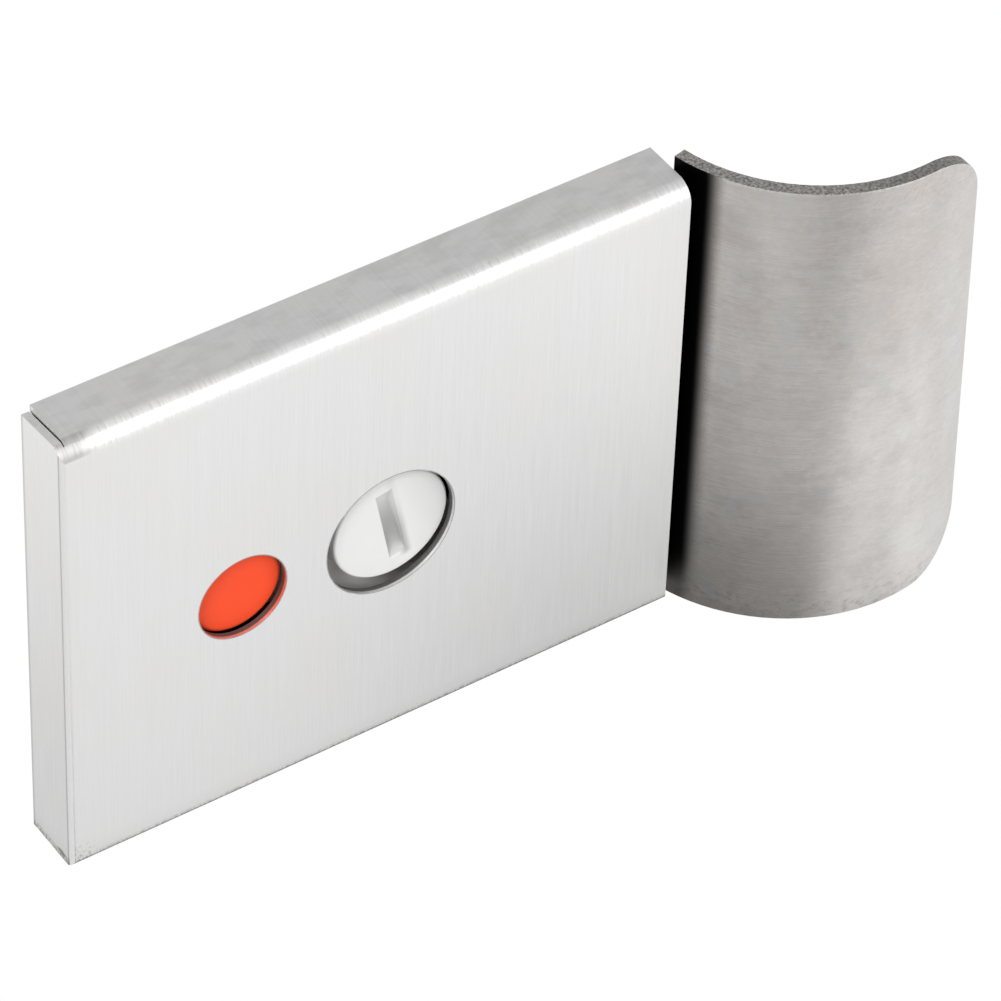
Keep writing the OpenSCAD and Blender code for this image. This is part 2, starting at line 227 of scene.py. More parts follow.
def new_finish(name):
    material = bpy.data.materials.new(name)
    material.use_nodes = True
    return material, Finish(material.node_tree)


def darker(colour, share):
    return [part * share for part in colour]


def lighter(colour, share):
    return [min(1.0, part * share) for part in colour]


def hole_walls(f, look, x, z, reach=0.4):
    """One within the two punched holes, and nothing further than the reach beyond them."""
    spot = f.point(x, 0.0, z)
    holes = 0.0
    for centre, radius in ((look.aperture_x, look.aperture_r), (look.window_x, look.window_r)):
        holes = f.distance(spot, (centre, 0.0, 0.0)).ramp(radius + reach, radius + reach / 2) + holes
    return holes


def left_fold(x, nx):
    """Masks of the cover's left bend, where light is painted, and of the thin line where the bend ends, where
    shade is painted.
    """
    at_left = x.ramp(COVER_LOW.x + 3.0, COVER_LOW.x + 1.5)
    bend = nx.ramp(-0.12, -0.3) * nx.ramp(-0.99, -0.9) * at_left
    line = nx.ramp(-0.84, -0.93) * nx.ramp(-0.999, -0.985) * at_left
    return bend, line


def cover_sheet(f, look, place, on_side, on_top):
    """The clean sheet's colour, with the fine and the broad brush lines that are in it, and painted light and
    shade: lighter on the left, darker at the lower right and on the top flange.
    """
    x, y, z = place
    across = x + (y - x) * on_side
    along = z + y * 0.5
    fine = f.grain(across * 9.0, 0.0, along * 0.10, 3.0, 0.6)
    broad = f.grain(across * 1.6, 0.0, along * 0.03)
    cloud = f.grain(x * 0.03, y * 0.03, z * 0.03)
    # Painted light and shade: lighter on the left, painted shade at the lower right and on the top flange.
    light = ((fine - 0.5) * 1.15 + (broad - 0.5) * 0.35 + (cloud - 0.5) * 0.12
             + x.ramp(-50.0, 45.0, 0.2, 0.0)
             - x.ramp(-15.0, 45.0) * z.ramp(20.0, -35.0) * 0.4 - on_top * 0.3)
    plain = f.blend(light + 0.7, darker(look.colour, 0.82), lighter(look.colour, 1.12))
    warmth = f.grain(x * 0.07, y * 0.07, z * 0.05 + 9.0, 3.0).ramp(0.42, 0.68)
    return f.blend(warmth * 0.2, plain, WARM_STEEL), fine, broad


def cover_wear_and_shade(f, look, place, facing, broad, mottle, on_top, left_line):
    """How dark the cover's outside is made: painted shade on its bends, along its left line and at its top left
    corner, and wear at its dents, smudges and grime.
    """
    x, y, z = place
    nx, ny, nz = facing
    specks = f.grain(x * 0.9, y * 0.9, z * 0.9, 4.0, 0.6).ramp(0.68, 0.75)
    smudge = f.grain(x * 0.13, y * 0.3, 0.0, 4.0, 0.6).ramp(0.42, 0.66) * on_top
    pits = f.grain(x * 2.2, y * 2.2, z * 1.6, 5.0, 0.7)
    low_corner = f.distance(f.point(x, y, z), COVER_LOW)
    scuff = low_corner.ramp(6.0, 2.5) * pits.ramp(0.54, 0.62) * ny.ramp(-0.5, -0.9)
    from_chip = abs(y - look.chip_y) * 0.6 + abs(z - look.chip_z) * 1.6
    chip = (from_chip + pits).ramp(1.5, 1.15) * nx.ramp(-0.5, -0.9)
    up_front = nz * ny * -1.0
    # Painted shade on the top bend near the top left corner.
    high_corner = f.distance(f.point(x, 0.0, z), (COVER_LOW.x, 0.0, COVER_HIGH.z))
    corner_shade = high_corner.ramp(6.5, 3.0) * up_front.ramp(0.1, 0.3)
    strokes = f.grain(x * 2.4, 0.0, z * 0.2, 3.0, 0.7).ramp(0.45, 0.7)
    # Painted shade in streaks on the upper part of the top bend, and painted shade on the bottom bend.
    high_bend = up_front.ramp(0.2, 0.4) * strokes
    low_bend = (nz * ny).ramp(0.12, 0.4) * nz.ramp(0.0, -0.2)
    above = z - COVER_LOW.z
    crust = pits.ramp(0.42, 0.58) * 0.6 + mottle.ramp(0.4, 0.6) * 0.2 + 0.05
    grime = above.ramp(1.6, 0.3) * crust + above.ramp(4.5, 0.0) * broad * 0.16
    door_edge = y.ramp(-0.7, -0.1) * nx.ramp(-0.5, -0.9) * 0.35
    # The left line, the bends and the top left corner are painted shade; the specks, scuff, chip, smudge and
    # grime are wear and dirt.
    dark = (left_line * 0.5 + low_bend * 0.4 + high_bend * 0.22 + specks * 0.08 + scuff * 0.5 + chip * 0.6
            + corner_shade * 0.42 + smudge * 0.12 + grime + door_edge)
    return dark.at_most(0.9)


def cover_inside(place, facing):
    """One on the faces within the cover."""
    x, y, z = place
    nx, ny, nz = facing
    behind = y.ramp(COVER_LOW.y + 1.22, COVER_LOW.y + 1.5)
    walls = (nx.ramp(0.4, 0.8) * x.ramp(20.0, 0.0) + nz.ramp(0.4, 0.8) * z.ramp(0.0, -10.0)
             + nz.ramp(-0.4, -0.8) * z.ramp(0.0, 10.0))
    return (ny.ramp(0.4, 0.8) * y.ramp(-0.5, -1.0) + walls * behind).at_most(1.0)


def brushed_cover():
    """Bright satin sheet whose brush lines run up the front and over the bends."""
    look = bpy.context.scene.bolt_cover
    material, f = new_finish("brushed_cover_steel")
    place = x, y, z = f.place()
    facing = nx, ny, nz = f.facing()
    on_side = abs(nx).ramp(0.6, 0.8)
    on_top = nz.ramp(0.75, 0.95)
    over_bend = (nz * ny * -1.0).ramp(0.02, 0.3)
    left_bend, left_line = left_fold(x, nx)
    mottle = f.grain(x * 0.5, y * 0.5, z * 0.5, 5.0, 0.65)
    sheet, fine, broad = cover_sheet(f, look, place, on_side, on_top)
    dark = cover_wear_and_shade(f, look, place, facing, broad, mottle, on_top, left_line)
    lip = hole_walls(f, look, x, z, 0.2) * abs(ny).ramp(0.3, 0.6) * mottle.ramp(0.3, 0.5, 0.3, 0.7)
    past_lip = y.ramp(COVER_LOW.y + 0.3, COVER_LOW.y + 0.55)
    # The inner part of the holes' walls is darker: torn steel, with painted shade.
    torn_and_shaded = hole_walls(f, look, x, z) * abs(ny).ramp(0.5, 0.3) * past_lip
    inside = cover_inside(place, facing)
    # Wear and painted shade darken the sheet.
    worn_and_shaded = f.blend(dark, sheet, WORN_AND_SHADED_STEEL)
    lined = f.blend(lip, worn_and_shaded, HOLE_LIP)
    punched = f.blend(torn_and_shaded * 0.9, lined, HOLE_WALL)
    # Painted shade: the faces within the cover are made nearly black.
    colour = f.blend(inside, punched, INNER_SHADE)
    # Painted light: the left bend is made pale and half dull so that it shows as bright as the front.
    bend_lit = f.blend(left_bend * (1.0 - left_line), colour, PAINTED_BEND_LIGHT)
    rough = ((fine - 0.5) * 0.16 + on_top * 0.10 + (inside + torn_and_shaded + left_bend) * 0.25 + over_bend * 0.12
             + look.roughness)
    f.surface(base_color=bend_lit, metallic=1.0 - left_bend * 0.8, roughness=rough,
              normal=f.bump(fine, look.line_depth, RELIEF))
    return material


def pull_sheet(f, look, place):
    """The clean plate's colour, with the fine lines and the smears that are in it, and painted light and shade:
    darker on the left, lighter towards the free end and darker high on its middle.
    """
    x, y, z = place
    around = x + y
    fine = f.grain(around, 0.0, z * 6.0, 4.0, 0.7)
    hair = f.grain(around * 0.45, 0.0, z * 11.0, 2.0, 0.6)
    broad = f.grain(around * 0.14, 0.0, z * 0.8, 4.0, 0.6)
    cloud = f.grain(x * 0.06, y * 0.06, z * 0.06, 3.0)
    smear = f.grain(x * 0.17, y * 0.17, z * 0.10, 4.0, 0.6)
    mottle = f.grain(x * 0.8, y * 0.8, z * 1.1, 5.0, 0.75)
    # Painted light and shade: darker on the left, lighter towards the free end, and painted shade high on the
    # middle.
    light = ((fine - 0.5) * 1.1 + (hair - 0.5) * 0.9 + (mottle - 0.5) * 0.7 + (broad - 0.5) * 0.4
             + (cloud - 0.5) * 0.6 + (smear - 0.5) * 0.8 + x.ramp(60.0, 76.0, -0.25, 0.16)
             - x.ramp(64.0, 71.0) * x.ramp(84.0, 76.0) * z.ramp(-5.0, 22.0) * 0.5)
    clean = f.blend(light + 0.5, look.dull, look.colour)
    bluish = f.grain(x * 0.22, y * 0.22, z * 0.16 + 7.0, 4.0, 0.6).ramp(0.5, 0.66)
    cooled = f.blend(bluish * x.ramp(68.0, 80.0, 0.3, 0.1), clean, COOL_PATCH)
    stained = f.grain(x * 0.10, y * 0.10, z * 0.13 + 3.0, 5.0, 0.65).ramp(0.5, 0.68)
    return f.blend(stained * x.ramp(70.0, 82.0, 0.2, 0.08), cooled, STAIN), fine, smear


def pull_wear_and_shade(f, place, above):
    """How dark the pull is made: soiled along its bottom, with painted shade low on its left and middle, and
    rubbed at its upper corner.
    """
    x, y, z = place
    spots = f.grain(x * 0.7, y * 0.7, z * 0.9, 5.0, 0.7)
    # Soil in spots and along the bottom; the last term is painted shade, low on the left and middle.
    soil_and_shade = (above.ramp(7.0, 1.0) * spots.ramp(0.5, 0.64) * 0.3 + above.ramp(3.0, 0.2) * 0.1
              + above.ramp(36.0, 4.0) * x.ramp(74.0, 62.0) * 0.4)
    corner = x.ramp(62.0, 72.0) * z.ramp(PULL_HIGH.z - 12.0, PULL_HIGH.z - 2.0)
    rubs = f.grain((x + z) * 0.5, 0.0, (x - z) * 2.6, 4.0, 0.7).ramp(0.5, 0.66) * corner * 0.3
    return (soil_and_shade + rubs).at_most(0.6)


def brushed_pull():
    """Warmer, heavier sheet with level brush lines, mottled sawn edges and a painted dark reflection where it
    leaves the cover.
    """
    look = bpy.context.scene.bolt_pull
    material, f = new_finish("brushed_pull_steel")
    place = x, y, z = f.place()
    ny, nz = f.facing()[1:]
    above = z - PULL_LOW.z
    grit = f.grain(x * 2.0, y * 2.0, z * 2.0, 4.0, 0.75)
    free_end = abs(ny).ramp(0.6, 0.3) * x.ramp(70.0, 74.0)
    on_edge = (abs(nz).ramp(0.7, 0.9) + free_end).at_most(1.0)
    sheet, fine, smear = pull_sheet(f, look, place)
    # Soil and painted shade darken the plate.
    soiled_and_shaded = f.blend(pull_wear_and_shade(f, place, above), sheet, SOIL_AND_SHADE)
    arris = z.ramp(PULL_HIGH.z - 0.55, PULL_HIGH.z - 0.1) * grit.ramp(0.42, 0.6)
    rubbed = f.blend(arris * 0.75, soiled_and_shaded, RUBBED_ARRIS)
    # The sawn edge has fewer bright flecks towards its free end: painted shade.
    flecks_and_shade = grit.ramp(0.34, 0.64) * x.ramp(62.0, 72.0, 1.0, 0.6)
    colour = f.blend(on_edge, rubbed, f.blend(flecks_and_shade, SAWN_DARK, SAWN_BRIGHT))
    # Painted reflection and shadow: a nearly black strip where the pull leaves the cover.
    dark_strip = (x.ramp(COVER_HIGH.x + 4.2, COVER_HIGH.x + 2.6) * ny.ramp(0.2, -0.1)
            * above.ramp(1.0, 9.0, 0.75, 1.0) * (1.0 - on_edge))
    with_dark_reflection = f.blend(dark_strip, colour, DARK_REFLECTION)
    rough = ((fine - 0.5) * 0.12 + (smear - 0.5) * 0.10 + on_edge * 0.26 + dark_strip * 0.3
             + x.ramp(55.0, 72.0, 0.0, 0.16) + look.roughness)
    f.surface(base_color=with_dark_reflection, metallic=1.0, roughness=rough,
              normal=f.bump(fine + on_edge * grit * 3.0, look.line_depth, RELIEF))
    return material


def painted_slot_shade(f, place, shade, colour, slot):
    """The release's colour with painted shade towards its right, along the slot and within the slot."""
    x, y, z = place
    lean, width, face = slot
    wall = width / 2
    rightward = x * math.cos(lean) + z * math.sin(lean)
    upward = z * math.cos(lean) - x * math.sin(lean)
    # Painted shade: the release is darker towards its right.
    side_shade = (x + z * 0.3).ramp(0.0, 10.0) * 0.2
    # Painted shade along the slot's right edge, as a sloping wall would show.
    slope_shade = (rightward.ramp(wall + 1.2, wall) * rightward.ramp(0.0, wall) * upward.ramp(5.0, -3.0, 0.1, 0.5)
              * upward.ramp(-7.6, -6.4) * y.ramp(face + 0.4, face + 0.15))
    side_shaded = f.blend((side_shade + slope_shade).at_most(1.0), shade, darker(colour, 0.2))
    # Painted shade within the slot, darker deeper in and towards its lower end.
    sunk = abs(rightward).ramp(wall + 0.25, wall + 0.1) * y.ramp(face + 0.1, face + 1.2, 0.6, 1.0)
    slot_shade = sunk * y.ramp(face + 0.02, face + 0.2) * z.ramp(4.5, -5.0)
    return f.blend(slot_shade, side_shaded, darker(colour, 0.56))


def moulded(name, colour, roughness, spread=0.06, gloss=0.4, slot=None):
    """Moulded plastic with a faint mottle and a soft skin, and painted shade round its coin slot if it has one.
    """
    material, f = new_finish(name)
    place = f.place()
    point = f.point(*place)
    mottle = f.noise(point, 0.35, 3.0)
    skin = f.noise(point, 5.0, 2.0)
    shade = f.blend(mottle, darker(colour, 1 - spread), lighter(colour, 1 + spread))
    if slot:
        shade = painted_slot_shade(f, place, shade, colour, slot)
    rough = (skin - 0.5) * 0.12 + roughness
    f.surface(base_color=shade, roughness=rough, specular_ior_level=gloss, normal=f.bump(skin, 0.15, RELIEF))
    return material


def mill_metal(name, colour, roughness):
    """Plain metal of the hidden pieces, with drawn lines and dull patches."""
    material, f = new_finish(name)
    x, y, z = f.place()
    lines = f.grain(x * 0.3, y * 0.3, z * 5.0, 3.0, 0.6)
    patch = f.noise(f.point(x, y, z), 0.25, 3.0)
    tone = (lines - 0.5) * 0.3 + (patch - 0.5) * 0.4 + 0.5
    shade = f.blend(tone, darker(colour, 0.8), lighter(colour, 1.15))
    rough = (patch - 0.5) * 0.2 + (lines - 0.5) * 0.1 + roughness
    f.surface(base_color=shade, metallic=1.0, roughness=rough, normal=f.bump(lines, 0.2, RELIEF))
    return material


# Mesh helpers

def new_piece(name, mesh):
    piece = bpy.data.objects.new(name, mesh)
    bpy.context.scene.collection.objects.link(piece)
    return piece


def baked_mesh(piece, name):
    """The piece's mesh with its modifiers applied, as a plain mesh."""
    graph = bpy.context.evaluated_depsgraph_get()
    mesh = bpy.data.meshes.new_from_object(piece.evaluated_get(graph))
    mesh.name = name
    return mesh


def softened(node, name, width, segments=2, corner=math.radians(28)):
    """A copy of a CAD node as one clean skin, with every sharp edge softened by width."""
    skin = bmesh.new()
    skin.from_mesh(frame["nodes"][node].data)
    bmesh.ops.remove_doubles(skin, verts=skin.verts, dist=WELD)
    bmesh.ops.dissolve_limit(skin, angle_limit=FLAT, verts=skin.verts, edges=skin.edges)
    sharp = [edge for edge in skin.edges if edge.is_manifold and edge.calc_face_angle() > corner]
    bmesh.ops.bevel(skin, geom=sharp, offset=width * MM, offset_type="OFFSET", segments=segments,
                    profile=0.5, affect="EDGES", clamp_overlap=True)
    bmesh.ops.remove_doubles(skin, verts=skin.verts, dist=WELD)
    for face in skin.faces:
        face.smooth = True
    mesh = bpy.data.meshes.new(name)
    skin.to_mesh(mesh)
    skin.free()
    piece = new_piece(name, mesh)
    weigh = piece.modifiers.new("weighted_normals", "WEIGHTED_NORMAL")
    weigh.mode = "FACE_AREA"
    weigh.weight = 80
    plain = baked_mesh(piece, name)
    piece.modifiers.remove(weigh)
    piece.data = plain
    return piece


def dress(piece, node, body, material):
    """Gives a piece its finish, and puts it in its node's place."""
    piece.data.materials.clear()
    piece.data.materials.append(material)
    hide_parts(node)
    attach(piece, body)


# Pieces that grow from a rule

class Tree:
    """A Geometry Nodes tree that is built from Python calls."""

    def __init__(self, name, inputs):
        self.tree = bpy.data.node_groups.new(name, "GeometryNodeTree")
        for label, kind in inputs.items():
            self.tree.interface.new_socket(name=label, in_out="INPUT", socket_type="NodeSocket" + kind)
        self.tree.interface.new_socket(name="Geometry", in_out="OUTPUT", socket_type="NodeSocketGeometry")
        self.given = self.tree.nodes.new("NodeGroupInput").outputs

    def node(self, kind, settings=None, values=None, output=0):
        """Adds one node: its settings first, then the values or links of its sockets."""
        made = self.tree.nodes.new(kind)
        for key, value in (settings or {}).items():
            setattr(made, key, value)
        for key, value in (values or {}).items():
            if isinstance(value, bpy.types.NodeSocket):
                self.tree.links.new(value, made.inputs[key])
            else:
                made.inputs[key].default_value = value
        return made.outputs[output]

    def math(self, operation, first, second):
        return self.node("ShaderNodeMath", {"operation": operation}, {0: first, 1: second})

    def between(self, first, second):
        return self.math("MULTIPLY", self.math("ADD", first, second), 0.5)

    def join(self, *parts):
        joined = self.tree.nodes.new("GeometryNodeJoinGeometry")
        for part in parts:
            self.tree.links.new(part, joined.inputs[0])
        return joined.outputs[0]

    def swept(self, path, profile):
        values = {"Curve": path, "Profile Curve": profile, "Fill Caps": True}
        return self.node("GeometryNodeCurveToMesh", None, values)

    def finish(self, shape):
        """Turns the shape's axis from Z to the object's depth, puts it in its place and ends the tree."""
        values = {"Geometry": shape, "Translation": self.given["Centre"], "Rotation": (math.pi / 2, 0.0, 0.0)}
        placed = self.node("GeometryNodeTransform", None, values)
        real = self.node("GeometryNodeRealizeInstances", None, {0: placed})
        values = {"Geometry": real, "Material": self.given["Material"]}
        dressed = self.node("GeometryNodeSetMaterial", None, values)
        self.tree.links.new(dressed, self.tree.nodes.new("NodeGroupOutput").inputs[0])
        return self.tree


def keeper_tree():
    """A flat ring with teeth that point inwards and grip a stem."""
    t = Tree("toothed_keeper", {"Outer radius": "Float", "Root radius": "Float", "Inner radius": "Float",
                                "Thickness": "Float", "Teeth": "Int", "Tooth width": "Float",
                                "Centre": "Vector", "Material": "Material"})
    outer, root, inner = (t.given[label] for label in ("Outer radius", "Root radius", "Inner radius"))
    path = t.node("GeometryNodeCurvePrimitiveCircle", None,
                  {"Resolution": 64, "Radius": t.between(outer, root)})
    section = t.node("GeometryNodeCurvePrimitiveQuadrilateral", None,
                     {"Width": t.math("SUBTRACT", outer, root), "Height": t.given["Thickness"]})
    ring = t.swept(path, section)
    length = t.math("ADD", t.math("SUBTRACT", root, inner), TOOTH_LAP)
    size = t.node("ShaderNodeCombineXYZ", None, {0: length, 1: t.given["Tooth width"], 2: t.given["Thickness"]})
    tooth = t.node("GeometryNodeMeshCube", None, {"Size": size})
    spots = t.node("GeometryNodeMeshCircle", None,
                   {"Vertices": t.given["Teeth"], "Radius": t.between(root, inner)})
    outward = t.node("FunctionNodeAlignRotationToVector", {"axis": "X"},
                     {"Vector": t.node("GeometryNodeInputPosition")})
    teeth = t.node("GeometryNodeInstanceOnPoints", None,
                   {"Points": spots, "Instance": tooth, "Rotation": outward})
    return t.finish(t.join(ring, teeth))


def thread_tree():
    """A ridge that winds down the wall of a tapped hole."""
    t = Tree("wound_thread", {"Radius": "Float", "Pitch": "Float", "Turns": "Float", "Ridge": "Float",
                              "Centre": "Vector", "Material": "Material"})
    depth = t.math("MULTIPLY", t.given["Pitch"], t.given["Turns"])
    path = t.node("GeometryNodeCurveSpiral", None,
                  {"Resolution": 40, "Rotations": t.given["Turns"], "Start Radius": t.given["Radius"],
                   "End Radius": t.given["Radius"], "Height": depth})
    section = t.node("GeometryNodeCurvePrimitiveCircle", None, {"Resolution": 4, "Radius": t.given["Ridge"]})
    return t.finish(t.swept(path, section))


def grown(name, tree, sizes, material):
    """The plain mesh that a tree makes from the given sizes."""
    piece = new_piece(name, bpy.data.meshes.new(name))
    maker = piece.modifiers.new(tree.name, "NODES")
    maker.node_group = tree
    for item in tree.interface.items_tree:
        if item.in_out == "INPUT":
            maker[item.identifier] = material if item.name == "Material" else sizes[item.name]
    plain = baked_mesh(piece, name)
    piece.modifiers.remove(maker)
    skin = bmesh.new()
    skin.from_mesh(plain)
    bmesh.ops.recalc_face_normals(skin, faces=skin.faces)
    skin.to_mesh(plain)
    skin.free()
    piece.data = plain
    return piece


# Sizes and colours that a user would change

class CoverLook(bpy.types.PropertyGroup):
    colour: bpy.props.FloatVectorProperty(
        name="Colour", description="Tint of the cover's steel", subtype="COLOR",
        default=(0.98, 0.98, 0.976), min=0.0, max=1.0)
    roughness: bpy.props.FloatProperty(
        name="Roughness", description="How dull the cover's steel is", default=0.34, min=0.0, max=1.0)
    line_depth: bpy.props.FloatProperty(
        name="Line depth", description="Strength of the cover's brush lines", default=0.35, min=0.0, max=1.0)
    edge: bpy.props.FloatProperty(
        name="Edge", description="Softening of the cover's cut edges, in millimetres", default=0.12,
        min=0.02, max=0.4)
    aperture_x: bpy.props.FloatProperty(
        name="Aperture place", description="Place of the release aperture across the front, in millimetres",
        default=-0.9)
    aperture_r: bpy.props.FloatProperty(
        name="Aperture radius", description="Radius of the release aperture, in millimetres", default=10.4,
        min=1.0)
    window_x: bpy.props.FloatProperty(
        name="Window place", description="Place of the window across the front, in millimetres",
        default=-24.9)
    window_r: bpy.props.FloatProperty(
        name="Window radius", description="Radius of the window, in millimetres", default=7.0, min=1.0)
    chip_y: bpy.props.FloatProperty(
        name="Chip depth", description="Depth of the chip on the left flange, in millimetres", default=-7.6)
    chip_z: bpy.props.FloatProperty(
        name="Chip height", description="Height of the chip on the left flange, in millimetres", default=-36.5)


class PullLook(bpy.types.PropertyGroup):
    colour: bpy.props.FloatVectorProperty(
        name="Colour", description="Tint of the pull's steel where it is clean", subtype="COLOR",
        default=(0.845, 0.828, 0.812), min=0.0, max=1.0)
    dull: bpy.props.FloatVectorProperty(
        name="Dull colour", description="Tint of the pull's steel where it is dull", subtype="COLOR",
        default=(0.628, 0.588, 0.556), min=0.0, max=1.0)
    roughness: bpy.props.FloatProperty(
        name="Roughness", description="How dull the pull's steel is", default=0.15, min=0.0, max=1.0)
    line_depth: bpy.props.FloatProperty(
        name="Line depth", description="Strength of the pull's brush lines", default=0.4, min=0.0, max=1.0)
    edge: bpy.props.FloatProperty(
        name="Edge", description="Softening of the pull's edges, in millimetres", default=0.18,
        min=0.02, max=0.6)


class ReleaseLook(bpy.types.PropertyGroup):
    colour: bpy.props.FloatVectorProperty(
        name="Colour", description="Colour of the nylon release", subtype="COLOR",
        default=(0.83, 0.83, 0.825), min=0.0, max=1.0)
    edge: bpy.props.FloatProperty(
        name="Edge", description="Softening of the release's edges, in millimetres", default=0.15,
        min=0.02, max=0.4)
    slot_lean: bpy.props.FloatProperty(
        name="Slot lean", description="Lean of the coin slot at rest", subtype="ANGLE",
        default=math.radians(11.6))
    slot_width: bpy.props.FloatProperty(
        name="Slot width", description="Width of the coin slot, in millimetres", default=2.6, min=0.5, max=5.0)
    occupied: bpy.props.FloatVectorProperty(
        name="Occupied", description="Colour of the pad that shows when the door is bolted", subtype="COLOR",
        default=(1.0, 0.082, 0.022), min=0.0, max=1.0)
    vacant: bpy.props.FloatVectorProperty(
        name="Vacant", description="Colour of the pad that shows when the door is free", subtype="COLOR",
        default=(0.02, 0.30, 0.07), min=0.0, max=1.0)


class HardwareLook(bpy.types.PropertyGroup):
    teeth: bpy.props.IntProperty(
        name="Teeth", description="Number of teeth in a push-on keeper", default=8, min=3, max=24)
    tooth_width: bpy.props.FloatProperty(
        name="Tooth width", description="Width of a keeper's tooth, in millimetres", default=0.8,
        min=0.2, max=2.0)
    stem_radius: bpy.props.FloatProperty(
        name="Stem radius", description="Radius of the stem in a keeper, in millimetres", default=2.0,
        min=0.5, max=3.0)
    pitch: bpy.props.FloatProperty(
        name="Pitch", description="Pitch of the pillars' threads, in millimetres", default=0.8,
        min=0.3, max=2.0)
    tapped_radius: bpy.props.FloatProperty(
        name="Tapped radius", description="Radius of a pillar's hole, in millimetres", default=2.1,
        min=1.0, max=5.0)
    tapped_depth: bpy.props.FloatProperty(
        name="Tapped depth", description="Depth of the thread, in millimetres", default=6.0,
        min=1.0, max=12.0)


class StageLook(bpy.types.PropertyGroup):
    camera_place: bpy.props.FloatVectorProperty(
        name="Camera", description="Place of the camera", subtype="TRANSLATION", unit="LENGTH",
        default=(-0.3467, -0.5203, 0.5847))
    azimuth: bpy.props.FloatProperty(
        name="Azimuth", description="Direction of view, from straight on towards the right",
        subtype="ANGLE", default=math.radians(35.50))
    elevation: bpy.props.FloatProperty(
        name="Elevation", description="Downward slope of the view", subtype="ANGLE",
        default=math.radians(43.16))
    roll: bpy.props.FloatProperty(
        name="Roll", description="Tilt of the picture", subtype="ANGLE", default=math.radians(2.32))
    focal_pixels: bpy.props.FloatProperty(
        name="Focal length", description="Focal length in picture pixels", default=6193.0, min=100.0)
    floor_drop: bpy.props.FloatProperty(
        name="Floor drop", description="Distance from the object down to the floor", unit="LENGTH",
        default=0.25, min=0.0)
    floor_size: bpy.props.FloatProperty(
        name="Floor size", description="Width of the floor", unit="LENGTH", default=8.0, min=1.0)
    near_floor: bpy.props.FloatProperty(
        name="Near floor", description="Brightness of the floor close to the object, as its gloss shows it",
        default=0.34, min=0.0, max=1.0)
    left_floor: bpy.props.FloatProperty(
        name="Left floor", description="Brightness of the floor on the left, as its gloss shows it",
        default=0.71, min=0.0, max=1.0)
    sky: bpy.props.FloatProperty(
        name="Sky", description="Level of the soft light all round", default=0.58, min=0.0)
    broad: bpy.props.FloatProperty(
        name="Broad lamp", description="Power of the broad lamp ahead", unit="POWER", default=3.3, min=0.0)
    key: bpy.props.FloatProperty(
        name="Left lamp", description="Power of the lamp at the upper left", unit="POWER", default=5.0, min=0.0)


# One operator for each piece or group of like pieces

class BOLT_OT_cover(bpy.types.Operator):
    """Makes the folded cover"""
    bl_idname = "bolt.cover"
    bl_label = "Cover"

    def execute(self, context):
        piece = softened("front_cover", "cover_shell", context.scene.bolt_cover.edge)
        dress(piece, "front_cover", UNIT, brushed_cover())
        return {"FINISHED"}


class BOLT_OT_pull(bpy.types.Operator):
    """Makes the backplate and the curved pull"""
    bl_idname = "bolt.pull"
    bl_label = "Pull"

    def execute(self, context):
        piece = softened("pull_plate", "pull_and_backplate", context.scene.bolt_pull.edge)
        dress(piece, "pull_plate", UNIT, brushed_pull())
        return {"FINISHED"}


class BOLT_OT_release(bpy.types.Operator):
    """Makes the nylon coin release"""
    bl_idname = "bolt.release"
    bl_label = "Release"

    def execute(self, context):
        look = context.scene.bolt_release
        piece = softened("release_knob", "coin_release", look.edge, 3)
        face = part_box("release_knob")[0][1] / MM
        slot = (look.slot_lean, look.slot_width, face)
        dress(piece, "release_knob", ROTOR,
              moulded("white_nylon", look.colour, 0.42, spread=0.02, slot=slot))
        return {"FINISHED"}


class BOLT_OT_pads(bpy.types.Operator):
    """Makes the red and green pads"""
    bl_idname = "bolt.pads"
    bl_label = "Pads"

    def execute(self, context):
        look = context.scene.bolt_release
        for shade, colour in (("red", look.occupied), ("green", look.vacant)):
            piece = softened(shade + "_pad", shade + "_button", PAD_EDGE)
            dress(piece, shade + "_pad", ROTOR,
                  moulded(shade + "_plastic", colour, 0.5, spread=0.04, gloss=0.22))
        return {"FINISHED"}


class BOLT_OT_inner(bpy.types.Operator):
    """Finishes the pieces inside the cover and behind the door's face"""
    bl_idname = "bolt.inner"
    bl_label = "Inner pieces"

    def execute(self, context):
        finishes = {
            "inner_steel": mill_metal("mill_steel", (0.56, 0.56, 0.55), 0.36),
            "spring_steel": mill_metal("spring_steel", (0.34, 0.35, 0.37), 0.32),
            "post_brass": mill_metal("turned_brass", (0.68, 0.50, 0.22), 0.30),
            "white_nylon": moulded("bush_nylon", (0.82, 0.81, 0.77), 0.5, spread=0.04),
            "painted": moulded("pale_paint", (0.72, 0.71, 0.69), 0.5, spread=0.05),
            "washer_nylon": moulded("washer_nylon", (0.62, 0.58, 0.48), 0.5),
        }
        shown = {"front_cover", "pull_plate", "release_knob", "red_pad", "green_pad", "red_keeper",
                 "green_keeper"}
        for entry in frame["record"]["subparts"]:
            if entry["node"] in shown:
                continue
            mesh = frame["nodes"][entry["node"]].data
            mesh.materials.clear()
            painted = entry["node"] == "indicator_plate"
            mesh.materials.append(finishes["painted" if painted else entry["material_slot"]])
        return {"FINISHED"}


